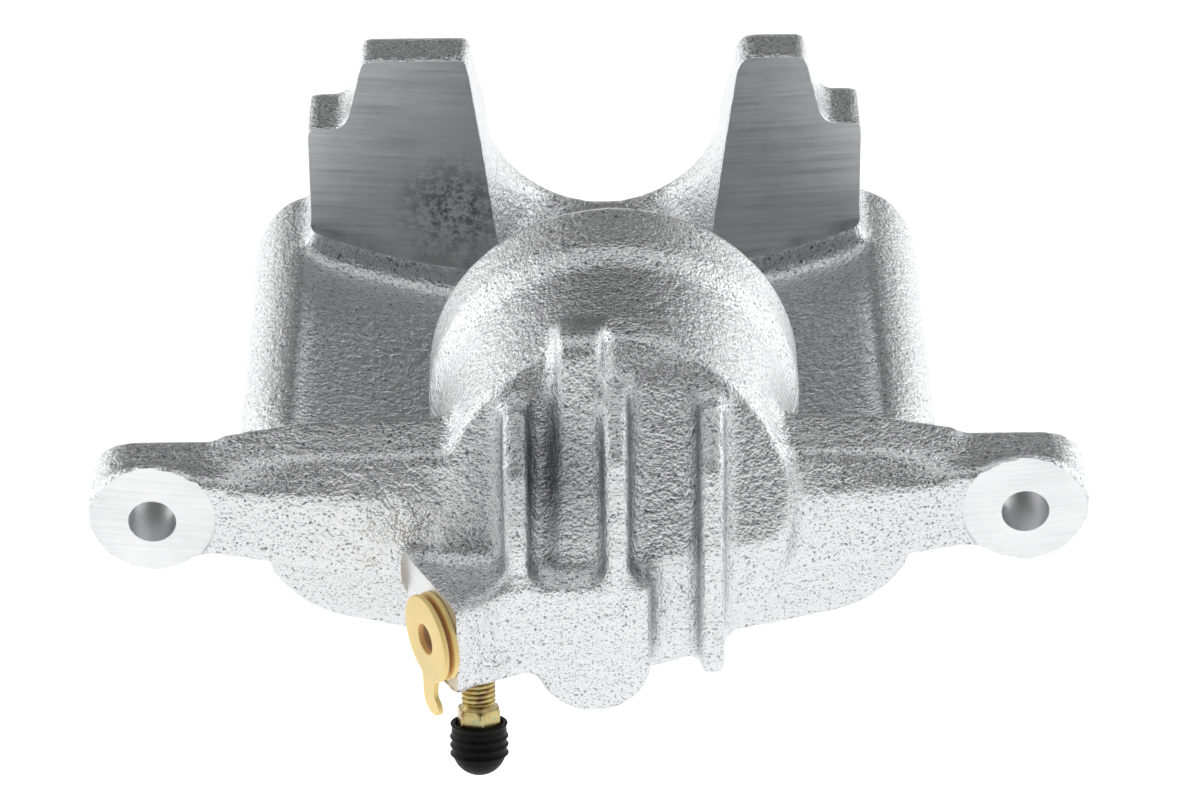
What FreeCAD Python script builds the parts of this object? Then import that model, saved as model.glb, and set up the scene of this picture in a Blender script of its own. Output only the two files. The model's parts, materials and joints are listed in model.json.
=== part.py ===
"""Single-piston floating brake caliper housing with its piston, seals, bleed screw and port plug.

Frame, in millimetres: +X along the line of the two guide bolts, +Y along the piston stroke towards the
fingers, +Z towards the wheel axle. The origin is midway between the two guide-bolt holes, on the machined
faces of the guide ears.
"""

import FreeCAD, Part
import math
import os

import Sketcher
from FreeCAD import Placement, Rotation, Vector

# Driving dimensions, in millimetres and degrees.
DIMENSIONS = {
    # guide ears and arms
    "bolt_spacing": 175.0,
    "bolt_hole_diameter": 9.6,
    "ear_pad_radius": 12.7,
    "ear_pad_depth": 0.5,
    "ear_thickness": 16.0,
    "ear_top": 9.6,
    "ear_bottom": -8.7,
    "ear_overhang": 13.0,
    "arm_root_inset": 20.0,
    "arm_waist_x": 58.0,
    "arm_ear_x": 74.0,
    # brake disc that the bridge reaches over
    "disc_axis_height": 128.5,
    # bridge
    "bridge_inner_radius": 161.0,
    "bridge_outer_radius": 174.0,
    "channel_half_width": 61.5,
    "bridge_half_width": 75.2,
    "curb_height": 2.0,
    "bridge_start": 20.0,
    "bridge_corner": 13.0,
    "bridge_taper": 9.5,
    "bridge_taper_length": 55.0,
    "bridge_end_underside": 47.0,
    "bridge_end_corner": 24.0,
    "web_half_width": 52.0,
    # fingers
    "finger_face": 141.0,
    "milling_depth": 3.5,
    "milling_radius": 155.5,
    "finger_back": 162.0,
    "finger_top": 27.3,
    "finger_top_thickness": 11.5,
    "notch_height": 10.3,
    "notch_width": 8.5,
    "window_radius": 26.1,
    "window_centre_x": 4.2,
    "window_centre_height": 5.5,
    "window_flare": 3.2,
    "finger_tip_round": 4.5,
    # barrel
    "barrel_offset": 5.5,
    "barrel_mouth": 58.0,
    "mouth_radius": 38.4,
    "barrel_radius": 35.8,
    "closed_end": -8.0,
    "closed_end_edge": 5.0,
    "slope_start": -8.0,
    "left_slope_start": -3.0,
    "slope_top_y": 5.5,
    "slope_top_z": 27.0,
    "shoulder_end": 17.0,
    "shoulder_radius": 16.0,
    "piston_diameter": 57.0,
    "bore_clearance": 0.05,
    "bore_bottom": 12.0,
    "seal_position": 46.0,
    "seal_width": 3.4,
    "seal_depth": 2.9,
    "boot_seat_radius": 33.2,
    "boot_seat_depth": 3.6,
    # ribs and bosses on the closed end
    "rib_thickness": 5.0,
    "rib_rear": 8.0,
    "rib_front": -14.0,
    "rib_crest": -10.5,
    "rib_spacing": 19.5,
    "column_x": -1.6,
    "column_width": 9.2,
    "column_front": -9.6,
    "column_shoulder_y": 3.2,
    "column_shoulder_z": 35.2,
    "column_crown": 38.5,
    "column_round": 5.0,
    "ledge_height": -7.4,
    "lobe_x": 0.6,
    "lobe_radius": 11.7,
    "lobe_height": -27.2,
    "lobe_front": -14.0,
    # hose port
    "port_x": -30.0,
    "port_y": -15.0,
    "port_z": -18.0,
    "port_swing": 27.0,
    "port_face_rear": 13.9,
    "port_face_front": 8.2,
    "port_hole_diameter": 9.0,
    "port_hole_depth": 12.0,
    "block_bottom": -28.5,
    "passage_diameter": 3.0,
    # bleed screw boss
    "bleeder_x": -22.7,
    "bleeder_y": -11.87,
    "bleeder_z": -29.8,
    "bleeder_tilt": 16.0,
    "bleeder_boss_radius": 7.5,
    "bleeder_diameter": 7.0,
    "bleeder_hole_depth": 6.5,
    # piston
    "piston_back": 14.0,
    "piston_front": 61.0,
    "piston_wall": 6.5,
    "piston_floor": 9.0,
    "boot_groove_depth": 1.6,
    "boot_groove_width": 2.2,
    # dust boot and its ring
    "boot_clearance": 0.3,
    "boot_front": 60.0,
    "boot_wall": 2.2,
    "ring_wire_radius": 0.75,
    "ring_gap_angle": 14.0,
    # bleed screw
    "bleeder_thread_length": 7.1,
    "thread_pitch": 1.0,
    "thread_depth": 0.45,
    "bleeder_hex_flats": 8.0,
    "bleeder_hex_height": 4.4,
    "nipple_radius": 2.6,
    "nipple_barb_radius": 3.1,
    "nipple_length": 6.5,
    "bleeder_channel_radius": 1.0,
    # bleeder cap
    "cap_mouth": 10.2,
    "cap_radius": 5.6,
    "cap_ridge": 0.35,
    "cap_length": 11.2,
    "cap_crown": 1.0,
    "cap_fit": 0.06,
    # port plug
    "plug_flange_radius": 9.1,
    "plug_flange_thickness": 1.1,
    "plug_groove": 1.2,
    "plug_core_radius": 6.6,
    "plug_shank_radius": 4.42,
    "plug_shank_length": 6.5,
    "plug_recess_radius": 3.2,
    "plug_recess_depth": 6.0,
    "tab_width": 4.8,
    "tab_offset": 1.0,
    "tab_drop": 16.5,
    "tab_hook": 2.4,
}

doc = FreeCAD.newDocument("brake_caliper")


def write_sheet():
    """Put every driving dimension in a spreadsheet cell with the same name as its alias."""
    sheet = doc.addObject("Spreadsheet::Sheet", "dims")
    for row, (alias, value) in enumerate(DIMENSIONS.items(), start=1):
        sheet.set(f"A{row}", alias)
        sheet.set(f"B{row}", str(value))
        sheet.setAlias(f"B{row}", alias)
    doc.recompute()
    return sheet


sheet = write_sheet()


def value(expression):
    """Number that a spreadsheet expression stands for at the moment."""
    return float(sheet.evalExpression(expression))


# ---------------------------------------------------------------- sketches

def new_body(name):
    body = doc.addObject("PartDesign::Body", name)
    body.Label = name
    return body


def origin_plane(body, role):
    return next(plane for plane in body.Origin.OriginFeatures if plane.Role == role)


def new_sketch(body, name, support, offset="0"):
    """Sketch on a plane, moved along the plane's normal by the offset expression."""
    sketch = body.newObject("Sketcher::SketchObject", name)
    plane = origin_plane(body, support) if isinstance(support, str) else support
    sketch.AttachmentSupport = [(plane, "")]
    sketch.MapMode = "FlatFace"
    sketch.setExpression("AttachmentOffset.Base.z", offset)
    return sketch


def constrain(sketch, kind, geometry, expression):
    index = sketch.addConstraint(Sketcher.Constraint(kind, *geometry, value(expression)))
    sketch.setExpression(f"Constraints[{index}]", expression)


def arc_between(start, end, radius, bulge):
    """Circular arc from start to end. It bulges to the right of that direction if bulge is positive."""
    chord = end - start
    half = chord.Length / 2
    side = Vector(chord.y, -chord.x, 0).normalize() * bulge
    centre = (start + end) / 2 - side * math.sqrt(radius ** 2 - half ** 2)
    angles = [math.atan2(point.y - centre.y, point.x - centre.x) for point in (start, end)]
    if bulge < 0:
        angles.reverse()
    return Part.ArcOfCircle(Part.Circle(centre, Vector(0, 0, 1), radius), *angles)


def draw_outline(sketch, corners):
    """Closed outline through corners (x, y) given as expressions.

    A corner with two more entries, a radius expression and a bulge of 1 or -1, starts an arc instead of
    a straight line.
    """
    points = [Vector(value(corner[0]), value(corner[1]), 0) for corner in corners]
    first_ends = []
    for index, corner in enumerate(corners):
        start = points[index]
        end = points[(index + 1) % len(points)]
        if len(corner) == 2:
            sketch.addGeometry(Part.LineSegment(start, end))
            first_ends.append(1)
        else:
            radius, bulge = corner[2:]
            sketch.addGeometry(arc_between(start, end, value(radius), bulge))
            first_ends.append(1 if bulge > 0 else 2)
    for index, corner in enumerate(corners):
        following = (index + 1) % len(corners)
        last_end = 3 - first_ends[index]
        sketch.addConstraint(
            Sketcher.Constraint("Coincident", index, last_end, following, first_ends[following])
        )
        constrain(sketch, "DistanceX", (-1, 1, index, first_ends[index]), corner[0])
        constrain(sketch, "DistanceY", (-1, 1, index, first_ends[index]), corner[1])
        if len(corner) > 2:
            constrain(sketch, "Radius", (index,), corner[2])


def draw_circle(sketch, x, y, radius):
    circle = Part.Circle(Vector(value(x), value(y), 0), Vector(0, 0, 1), value(radius))
    index = sketch.addGeometry(circle)
    constrain(sketch, "DistanceX", (-1, 1, index, 3), x)
    constrain(sketch, "DistanceY", (-1, 1, index, 3), y)
    constrain(sketch, "Radius", (index,), radius)


def mirrored(corners):
    """The same outline on the other side of the YZ plane, still closed in one direction."""
    flipped = []
    for corner, arc_source in zip(reversed(corners), [*reversed(corners[:-1]), corners[-1]]):
        flipped.append((f"-({corner[0]})", corner[1], *arc_source[2:]))
    return flipped


# ---------------------------------------------------------------- features

def volume(body):
    return 0.0 if body.Shape.isNull() else body.Shape.Volume


def add_pad(body, sketch, length, reverse=False, midplane=False):
    pad = body.newObject("PartDesign::Pad", sketch.Name + "_pad")
    pad.Profile = sketch
    pad.setExpression("Length", length)
    pad.Reversed = reverse
    pad.Midplane = midplane
    doc.recompute()
    return pad


def cut_pocket(body, sketch, length, reverse=False, midplane=False):
    """Pocket that must remove some of the body."""
    before = volume(body)
    pocket = body.newObject("PartDesign::Pocket", sketch.Name + "_pocket")
    pocket.Profile = sketch
    pocket.setExpression("Length", length)
    pocket.Reversed = reverse
    pocket.Midplane = midplane
    doc.recompute()
    if volume(body) > before - 0.5:
        raise RuntimeError(f"{pocket.Name} removes nothing")
    return pocket


def revolve(body, sketch, axis="H_Axis", angle="360", cut=False):
    """Turn a sketch about one of its own axes, adding or removing material."""
    before = volume(body)
    kind = "PartDesign::Groove" if cut else "PartDesign::Revolution"
    feature = body.newObject(kind, sketch.Name + ("_groove" if cut else "_turned"))
    feature.Profile = sketch
    feature.ReferenceAxis = (sketch, [axis])
    feature.setExpression("Angle", angle)
    doc.recompute()
    if cut and volume(body) > before - 0.5:
        raise RuntimeError(f"{feature.Name} removes nothing")
    return feature


def add_loft(body, name, support, stations, cut=False):
    """Straight-sided loft through outlines given as {sketch name: (offset, corners)}."""
    sketches = []
    for sketch_name, (offset, corners) in stations.items():
        sketch = new_sketch(body, sketch_name, support, offset)
        draw_outline(sketch, corners)
        sketches.append(sketch)
    before = volume(body)
    loft = body.newObject("PartDesign::SubtractiveLoft" if cut else "PartDesign::AdditiveLoft", name)
    loft.Profile = sketches[0]
    loft.Sections = sketches[1:]
    loft.Ruled = True
    doc.recompute()
    change = volume(body) - before
    if (cut and change > -0.5) or (not cut and change < 0.5):
        raise RuntimeError(f"{name} changes nothing")


def place_along(body, position, axis, angle):
    """Move a body to a position and turn it about a fixed axis, all given as expressions."""
    body.Placement = Placement(Vector(), Rotation(Vector(*axis), 90))
    body.setExpression("Placement.Rotation.Angle", angle)
    for letter, expression in zip("xyz", position):
        body.setExpression(f"Placement.Base.{letter}", expression)


# ---------------------------------------------------------------- caliper housing

FLOOR_EDGE = "(dims.disc_axis_height - sqrt(dims.bridge_inner_radius ^ 2 - dims.channel_half_width ^ 2))"


def underside_height(x):
    return f"(dims.disc_axis_height - sqrt(dims.bridge_outer_radius ^ 2 - ({x}) ^ 2))"


def bridge_outline(half_width, underside_half, shoulder_drop, shoulder_radius):
    """Section of the bridge: an arched channel between two curbs, rounded down to the underside."""
    inner = "dims.channel_half_width"
    curb = (f"{inner} + 1", f"{FLOOR_EDGE} + dims.curb_height", "dims.bridge_corner", -1)
    shoulder = (half_width, f"{FLOOR_EDGE} - {shoulder_drop}", shoulder_radius, -1)
    return [
        (f"-{inner}", FLOOR_EDGE, "dims.bridge_inner_radius", 1),
        (inner, FLOOR_EDGE),
        curb,
        shoulder,
        (underside_half, underside_height(underside_half), "dims.bridge_outer_radius", -1),
        (f"-{underside_half}", underside_height(underside_half), shoulder_radius, -1),
        (f"-({half_width})", shoulder[1], "dims.bridge_corner", -1),
        (f"-({inner} + 1)", curb[1]),
    ]


LEFT_RIB = "(dims.barrel_offset - dims.rib_spacing - 0.5)"


def add_bridge(body):
    """Plate over the edge of the disc. It narrows towards the barrel and has rounded outboard corners."""
    full = bridge_outline("dims.bridge_half_width", "dims.channel_half_width", 11, "dims.bridge_corner")
    narrow = bridge_outline(
        "(dims.bridge_half_width - dims.bridge_taper)", "dims.bridge_end_underside", 5,
        "dims.bridge_end_corner",
    )
    full_start = "(dims.bridge_start + dims.bridge_taper_length)"
    sketch = new_sketch(body, "bridge", "XZ_Plane", f"-{full_start}")
    draw_outline(sketch, full)
    add_pad(body, sketch, f"dims.finger_back - {full_start}", reverse=True)

    stations = {"bridge_end": ("-dims.bridge_start", narrow), "bridge_middle": (f"-{full_start}", full)}
    add_loft(body, "bridge_taper", "XZ_Plane", stations)

    corner = [
        ("dims.bridge_half_width + 1", "dims.finger_back - dims.bridge_corner"),
        ("dims.bridge_half_width + 1", "dims.finger_back + 1"),
        ("dims.bridge_half_width - dims.bridge_corner", "dims.finger_back + 1"),
        ("dims.bridge_half_width - dims.bridge_corner", "dims.finger_back", "dims.bridge_corner", -1),
        ("dims.bridge_half_width", "dims.finger_back - dims.bridge_corner"),
    ]
    for side, outline in (("right", corner), ("left", mirrored(corner))):
        sketch = new_sketch(body, f"bridge_{side}_corner", "XY_Plane")
        draw_outline(sketch, outline)
        cut_pocket(body, sketch, "8 * dims.bridge_corner", midplane=True)

    web = new_sketch(body, "arm_web", "YZ_Plane")
    draw_outline(web, [
        ("dims.bridge_start + 8", "dims.ear_bottom"),
        ("dims.ear_thickness / 2", "dims.ear_bottom"),
        ("dims.ear_thickness / 2", "dims.ear_bottom - 4"),
        ("dims.bridge_start", f"{FLOOR_EDGE} - 4"),
        ("dims.bridge_start + 8", f"{FLOOR_EDGE} - 4"),
    ])
    add_pad(body, web, "2 * dims.web_half_width", midplane=True)


def add_fingers(body):
    """Wall at the outboard end, milled flat inside and cut into two fingers."""
    sketch = new_sketch(body, "finger_wall", "YZ_Plane")
    face = "dims.finger_face - dims.milling_depth"
    tip_back = "dims.finger_face + dims.finger_top_thickness"
    draw_outline(sketch, [
        (face, f"{FLOOR_EDGE} - 13"),
        ("dims.finger_back", f"{FLOOR_EDGE} - 13"),
        ("dims.finger_back", "dims.notch_height - 25"),
        ("dims.finger_back - 3.5", "dims.notch_height"),
        (tip_back, "dims.finger_top"),
        (face, "dims.finger_top"),
    ])
    add_pad(body, sketch, "2 * dims.channel_half_width", midplane=True)

    milling = new_sketch(body, "finger_milling", "XZ_Plane", f"-({face})")
    draw_circle(milling, "0", "dims.disc_axis_height", "dims.milling_radius")
    cut_pocket(body, milling, "dims.milling_depth")

    centre = "dims.window_centre_x"
    flare = "dims.window_radius + dims.window_flare"
    window = new_sketch(body, "finger_window", "XZ_Plane", f"-({face} - 1)")
    tip_round = "dims.finger_tip_round"
    draw_outline(window, [
        (f"{centre} - dims.window_radius", "dims.window_centre_height", "dims.window_radius + 0.001", 1),
        (f"{centre} + dims.window_radius", "dims.window_centre_height"),
        (f"{centre} + {flare}", f"dims.finger_top - {tip_round}", f"{tip_round} + 0.001", -1),
        (f"{centre} + {flare} + {tip_round}", "dims.finger_top"),
        (f"{centre} + {flare} + {tip_round}", "dims.finger_top + 1"),
        (f"{centre} - {flare} - {tip_round}", "dims.finger_top + 1"),
        (f"{centre} - {flare} - {tip_round}", "dims.finger_top", f"{tip_round} + 0.001", -1),
        (f"{centre} - {flare}", f"dims.finger_top - {tip_round}"),
    ])
    cut_pocket(body, window, "dims.finger_back - dims.finger_face + 10")
    widen_window(body, face)

    notch = [
        ("dims.channel_half_width + 1", "dims.notch_height"),
        ("dims.channel_half_width + 1", "dims.finger_top + 1"),
        ("dims.channel_half_width - dims.notch_width - 4.5", "dims.finger_top + 1"),
        ("dims.channel_half_width - dims.notch_width", "dims.notch_height"),
    ]
    for side, outline in (("right", notch), ("left", mirrored(notch))):
        sketch = new_sketch(body, f"{side}_notch", "XZ_Plane", f"-({face} - 1)")
        draw_outline(sketch, outline)
        cut_pocket(body, sketch, "dims.finger_back - dims.finger_face + 10")


def widen_window(body, face):
    """The window is wider and deeper on the disc's side: this cut narrows towards the outboard side."""
    centre = "dims.window_centre_x"
    radius = "dims.window_radius"
    stations = {}
    for name, y, narrowing, bottom_drop, widening in (
        ("window_near", f"{face} - 1", "0", "6.5", "1"),
        ("window_far", "dims.finger_back - 4", "12.5", "-3", "0"),
    ):
        low = (f"{radius} - {narrowing}", f"dims.window_centre_height - {radius} - ({bottom_drop})")
        waist = (f"{radius} + {widening}", "dims.window_centre_height")
        top = (f"{radius} + {widening} + dims.window_flare", "dims.finger_top + 1")
        corners = [(f"{centre} - ({x})", z) for x, z in (top, waist, low)]
        corners += [(f"{centre} + ({x})", z) for x, z in (low, waist, top)]
        stations[name] = (f"-({y})", corners)
    add_loft(body, "window_flare", "XZ_Plane", stations, cut=True)


def add_arms(body):
    """Two arms from the barrel to the guide ears, each lofted through three sections and the ear block."""
    front = "-dims.ear_pad_depth"
    back = "dims.ear_thickness"
    # The underside is given from the ear's underside, and the upper edges from the ear's top: the front edge,
    # the end of the slope above it (its Y and its height) and the back edge.
    sections = {
        "root": (-8.5, -7, "2.5", 3.6, 6),
        "waist": (-3.3, -4.2, "3.5", 2.6, 4.6),
        "ear": (0, -1.6, "6", 0.4, 1.6),
    }
    for side, sign in (("left", "-"), ("right", "")):
        places = {
            "root": f"dims.barrel_offset {sign or '+'} dims.arm_root_inset",
            "waist": f"{sign}dims.arm_waist_x",
            "ear": f"{sign}dims.arm_ear_x",
        }
        stations = {}
        for station, (bottom, front_top, slope_end, slope_top, back_top) in sections.items():
            stations[f"{side}_arm_{station}"] = (places[station], [
                (front, f"dims.ear_bottom + {bottom}"),
                (back, f"dims.ear_bottom + {bottom}"),
                (back, f"dims.ear_top + {back_top}"),
                (slope_end, f"dims.ear_top + {slope_top}"),
                (front, f"dims.ear_top + {front_top}"),
            ])
        add_loft(body, f"{side}_arm", "YZ_Plane", stations)

    tip = "(dims.bolt_spacing / 2 + dims.ear_overhang)"
    ear = [
        ("dims.arm_ear_x - 1", "dims.ear_bottom"),
        (f"{tip} - 8.5", "dims.ear_bottom", "9", 1),
        (tip, "0"),
        (tip, "dims.ear_top - 8", "8.001", 1),
        (f"{tip} - 8", "dims.ear_top"),
        ("dims.arm_ear_x - 1", "dims.ear_top"),
    ]
    for side, outline in (("right", ear), ("left", mirrored(ear))):
        sketch = new_sketch(body, f"{side}_ear", "XZ_Plane", "dims.ear_pad_depth")
        draw_outline(sketch, outline)
        add_pad(body, sketch, "dims.ear_thickness + dims.ear_pad_depth", reverse=True)


def add_barrel(body):
    """Cylinder that holds the piston: thicker at its mouth, slightly coned at its closed end."""
    sketch = new_sketch(body, "barrel", "YZ_Plane", "dims.barrel_offset")
    edge = "dims.closed_end_edge"
    draw_outline(sketch, [
        ("dims.closed_end", "0"),
        ("dims.barrel_mouth", "0"),
        ("dims.barrel_mouth", "dims.mouth_radius"),
        ("dims.barrel_mouth - 15.5", "dims.mouth_radius"),
        ("dims.barrel_mouth - 21", "dims.barrel_radius + 0.4"),
        (f"dims.closed_end + 2 + {edge}", "dims.barrel_radius", f"{edge} + 0.001", 1),
        ("dims.closed_end + 2", f"dims.barrel_radius - {edge}"),
    ])
    revolve(body, sketch)


def slope_closed_end(body):
    """Above a ledge the closed end leans back, then rounds over to the top of the barrel."""
    across = "(dims.mouth_radius + dims.barrel_offset)"
    cuts = {
        "leaning_end": ("0", "dims.slope_start", f"2 * {across}", True),
        "left_pocket": (LEFT_RIB, "dims.left_slope_start", across, False),
    }
    for name, (offset, start, width, midplane) in cuts.items():
        sketch = new_sketch(body, name, "YZ_Plane", offset)
        draw_outline(sketch, [
            ("dims.closed_end - 2", "dims.ledge_height"),
            (start, "dims.ledge_height"),
            ("dims.slope_top_y", "dims.slope_top_z", "dims.shoulder_radius", -1),
            ("dims.shoulder_end", "dims.barrel_radius"),
            ("dims.shoulder_end", "dims.mouth_radius + 1"),
            ("dims.closed_end - 2", "dims.mouth_radius + 1"),
        ])
        cut_pocket(body, sketch, width, midplane=midplane)


def add_ribs(body):
    """Three upright ribs, a column that leans back between two of them, and a lower lobe."""
    ribs = {
        "left_rib": (LEFT_RIB, "25", "-20"),
        "middle_rib": ("dims.barrel_offset", "28.5", "-20"),
        "right_rib": ("dims.barrel_offset + dims.rib_spacing - 0.5", "25.5", "-31.5"),
    }
    for name, (x, top, bottom) in ribs.items():
        sketch = new_sketch(body, name, "YZ_Plane", x)
        draw_outline(sketch, [
            ("dims.rib_rear", bottom),
            ("dims.rib_rear", top),
            ("dims.slope_top_y - 6", top),
            ("dims.rib_crest", f"{top} - 8"),
            ("dims.rib_front", "0"),
            ("dims.rib_front - 0.5", f"{bottom} + 3.5"),
            ("dims.rib_crest", bottom),
        ])
        add_pad(body, sketch, "dims.rib_thickness", midplane=True)

    column = new_sketch(body, "leaning_column", "YZ_Plane", "dims.column_x")
    draw_outline(column, [
        ("dims.shoulder_end", "dims.ledge_height"),
        ("dims.shoulder_end", "dims.barrel_radius"),
        ("dims.column_shoulder_y + 6", "dims.column_crown"),
        ("dims.column_shoulder_y + 4", "dims.column_crown", "dims.column_round", 1),
        ("dims.column_shoulder_y", "dims.column_shoulder_z"),
        ("dims.column_front", "dims.ledge_height"),
    ])
    add_pad(body, column, "dims.column_width", midplane=True)

    lobe = new_sketch(body, "lower_lobe", "XZ_Plane", "-dims.lobe_front")
    reach = "dims.lobe_radius"
    draw_outline(lobe, [
        (f"dims.lobe_x - {reach}", "dims.ledge_height"),
        (f"dims.lobe_x - {reach}", "dims.lobe_height", f"{reach} + 0.001", 1),
        (f"dims.lobe_x + {reach}", "dims.lobe_height"),
        (f"dims.lobe_x + {reach}", "dims.ledge_height"),
    ])
    add_pad(body, lobe, "20 - dims.lobe_front", reverse=True)


def port_plane(body):
    """Plane of the machined face of the hose port. Its normal points out of the port."""
    plane = body.newObject("PartDesign::Plane", "port_plane")
    plane.AttachmentSupport = [(origin_plane(body, "YZ_Plane"), "")]
    plane.MapMode = "FlatFace"
    plane.AttachmentOffset = Placement(Vector(), Rotation(Vector(0, 1, 0), 180))
    plane.setExpression("AttachmentOffset.Rotation.Angle", "180 + dims.port_swing")
    plane.setExpression("AttachmentOffset.Base.x", "dims.port_y")
    plane.setExpression("AttachmentOffset.Base.y", "dims.port_z")
    plane.setExpression("AttachmentOffset.Base.z", "dims.port_x")
    doc.recompute()
    return plane


def bleeder_plane(body):
    """Plane of the machined face of the bleed boss. Its normal points out along the screw."""
    plane = body.newObject("PartDesign::Plane", "bleeder_plane")
    plane.AttachmentSupport = [(origin_plane(body, "XY_Plane"), "")]
    plane.MapMode = "FlatFace"
    plane.AttachmentOffset = Placement(Vector(), Rotation(Vector(1, 0, 0), 180))
    plane.setExpression("AttachmentOffset.Rotation.Angle", "180 - dims.bleeder_tilt")
    plane.setExpression("AttachmentOffset.Base.x", "dims.bleeder_x")
    plane.setExpression("AttachmentOffset.Base.y", "dims.bleeder_y")
    plane.setExpression("AttachmentOffset.Base.z", "dims.bleeder_z")
    doc.recompute()
    return plane


def add_bosses(body, bleeder):
    """Block that carries the hose port, and the round boss of the bleed screw below it."""
    rear = ("dims.port_face_rear * sin(dims.port_swing)", "dims.port_face_rear * cos(dims.port_swing)")
    front = ("dims.port_face_front * sin(dims.port_swing)", "dims.port_face_front * cos(dims.port_swing)")
    inner_side = "dims.lobe_x - dims.lobe_radius + 3"
    block = new_sketch(body, "port_block", "XY_Plane", "dims.block_bottom")
    draw_outline(block, [
        (f"dims.port_x - {rear[0]}", f"dims.port_y + {rear[1]}"),
        (f"dims.port_x + {front[0]}", f"dims.port_y - {front[1]}"),
        ("dims.bleeder_x + 5", "dims.lobe_front - 1.6"),
        (inner_side, "dims.lobe_front"),
        (inner_side, "dims.ear_thickness - 6"),
        (f"dims.port_x - {rear[0]}", "dims.ear_thickness - 6"),
    ])
    add_pad(body, block, "dims.ledge_height - dims.block_bottom")

    boss = new_sketch(body, "bleeder_boss", bleeder)
    draw_circle(boss, "0", "0", "dims.bleeder_boss_radius")
    add_pad(body, boss, "14", reverse=True)


def cut_bore(body):
    """Stepped bore: piston bore, seal groove and boot seat, turned about the barrel's axis."""
    bore = "(dims.piston_diameter / 2 + dims.bore_clearance)"
    seal_end = "dims.seal_position + dims.seal_width"
    seat = "dims.barrel_mouth - dims.boot_seat_depth"
    sketch = new_sketch(body, "bore", "YZ_Plane", "dims.barrel_offset")
    draw_outline(sketch, [
        ("dims.bore_bottom", "0"),
        ("dims.barrel_mouth + 1", "0"),
        ("dims.barrel_mouth + 1", "dims.boot_seat_radius"),
        (seat, "dims.boot_seat_radius"),
        (seat, bore),
        (seal_end, bore),
        (seal_end, f"{bore} + dims.seal_depth"),
        ("dims.seal_position", f"{bore} + dims.seal_depth"),
        ("dims.seal_position", bore),
        ("dims.bore_bottom", bore),
    ])
    revolve(body, sketch, cut=True)


def cut_holes(body, port, bleeder):
    """Guide-bolt holes with their machined pads, the tapped port, the bleed hole and their passages."""
    for side, sign in (("left", "-"), ("right", "")):
        x = f"{sign}dims.bolt_spacing / 2"
        pad_face = new_sketch(body, f"{side}_pad_face", "XZ_Plane", "dims.ear_pad_depth")
        draw_circle(pad_face, x, "0.6", "dims.ear_pad_radius")
        cut_pocket(body, pad_face, "dims.ear_pad_depth")
        hole = new_sketch(body, f"{side}_guide_hole", "XZ_Plane", "1")
        draw_circle(hole, x, "0", "dims.bolt_hole_diameter / 2")
        cut_pocket(body, hole, "dims.ear_thickness + 2")
    bleeder_radius = "dims.bleeder_diameter / 2 + dims.bore_clearance"
    drillings = {
        "port_hole": (port, "dims.port_hole_diameter / 2", "dims.port_hole_depth"),
        "port_passage": (port, "dims.passage_diameter / 2", "50"),
        "bleeder_hole": (bleeder, bleeder_radius, "dims.bleeder_hole_depth"),
        "bleeder_passage": (bleeder, "dims.passage_diameter / 2", "dims.bleeder_hole_depth + 8"),
    }
    for name, (plane, radius, depth) in drillings.items():
        sketch = new_sketch(body, name, plane)
        draw_circle(sketch, "0", "0", radius)
        cut_pocket(body, sketch, depth)


def make_housing():
    body = new_body("caliper_housing")
    add_bridge(body)
    add_fingers(body)
    add_barrel(body)
    slope_closed_end(body)
    add_arms(body)
    add_ribs(body)
    port = port_plane(body)
    bleeder = bleeder_plane(body)
    add_bosses(body, bleeder)
    cut_bore(body)
    cut_holes(body, port, bleeder)
    return body


# ---------------------------------------------------------------- pieces turned about the barrel's axis

def turned_ring(name, outline, angle="360"):
    """Body of revolution about the barrel's axis, from an outline in (Y, radius)."""
    body = new_body(name)
    sketch = new_sketch(body, f"{name}_outline", "YZ_Plane")
    draw_outline(sketch, outline)
    revolve(body, sketch, angle=angle)
    body.setExpression("Placement.Base.x", "dims.barrel_offset")
    return body


def make_piston():
    radius = "dims.piston_diameter / 2"
    cup = f"{radius} - dims.piston_wall"
    groove_end = "dims.piston_front - 1.4"
    groove_start = f"{groove_end} - dims.boot_groove_width"
    return turned_ring("piston", [
        ("dims.piston_back", "0"),
        ("dims.piston_back + dims.piston_floor", "0"),
        ("dims.piston_back + dims.piston_floor", f"{cup} - 3"),
        ("dims.piston_back + dims.piston_floor + 3", cup),
        ("dims.piston_front", cup),
        ("dims.piston_front", f"{radius} - 0.6"),
        ("dims.piston_front - 0.6", radius),
        (groove_end, radius),
        (groove_end, f"{radius} - dims.boot_groove_depth"),
        (groove_start, f"{radius} - dims.boot_groove_depth"),
        (groove_start, radius),
        ("dims.piston_back + 2", radius),
        ("dims.piston_back", f"{radius} - 2"),
    ])


def make_seal():
    inner = "dims.piston_diameter / 2 + dims.bore_clearance"
    start = "dims.seal_position + 0.05"
    end = "dims.seal_position + dims.seal_width - 0.05"
    return turned_ring("piston_seal", [
        (start, inner),
        (end, inner),
        (end, f"{inner} + dims.seal_depth - 0.1"),
        (start, f"{inner} + dims.seal_depth - 0.1"),
    ])


def make_boot():
    """Rubber boot: a flange in the seat and a short sleeve around the piston."""
    inner = "dims.piston_diameter / 2 + dims.boot_clearance"
    seat = "dims.barrel_mouth - dims.boot_seat_depth + 0.05"
    return turned_ring("dust_boot", [
        (seat, inner),
        ("dims.boot_front", inner),
        ("dims.boot_front", f"{inner} + dims.boot_wall"),
        (f"{seat} + 1.4", f"{inner} + dims.boot_wall"),
        (f"{seat} + 1.4", "dims.boot_seat_radius - 0.1"),
        (seat, "dims.boot_seat_radius - 0.1"),
    ])


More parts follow.
